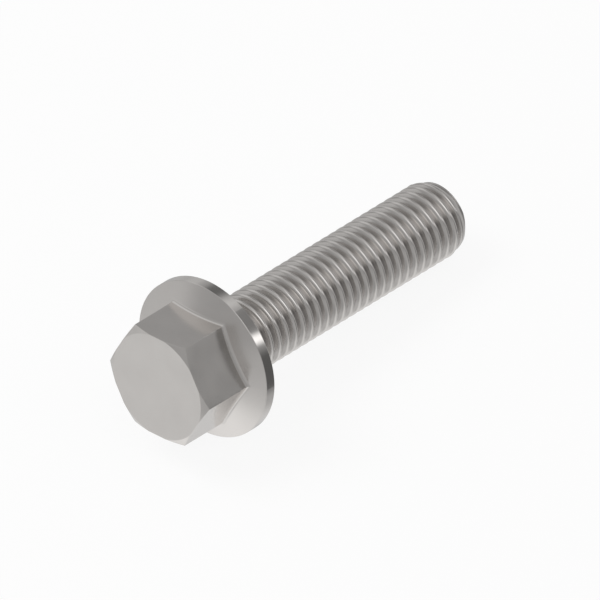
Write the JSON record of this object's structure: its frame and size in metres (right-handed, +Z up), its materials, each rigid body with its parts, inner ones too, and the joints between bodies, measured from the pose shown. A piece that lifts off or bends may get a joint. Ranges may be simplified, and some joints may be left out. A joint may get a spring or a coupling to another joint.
{
  "type": "hexagon flange bolt",
  "caption": "Bright steel flange bolt with a chamfered hexagon head, an integral round flange and a metric thread up to a short neck; clamps parts without a washer.",
  "frame": {"origin": "on the ground below the middle of the lying bolt's bounding box", "axes": "+X runs along the bolt from head to tip, seen from above; +Z is up. The bolt's own axis dips 7.84 degrees below +X, because it lies on its flange rim and its tip"},
  "size_m": [0.0631, 0.0252, 0.0251],
  "materials": {
    "bright_steel": "bright, smooth, uncoated steel with a soft sheen"
  },
  "bodies": {
    "root": {"flange_bolt": "bright_steel"}
  },
  "joints": []
}
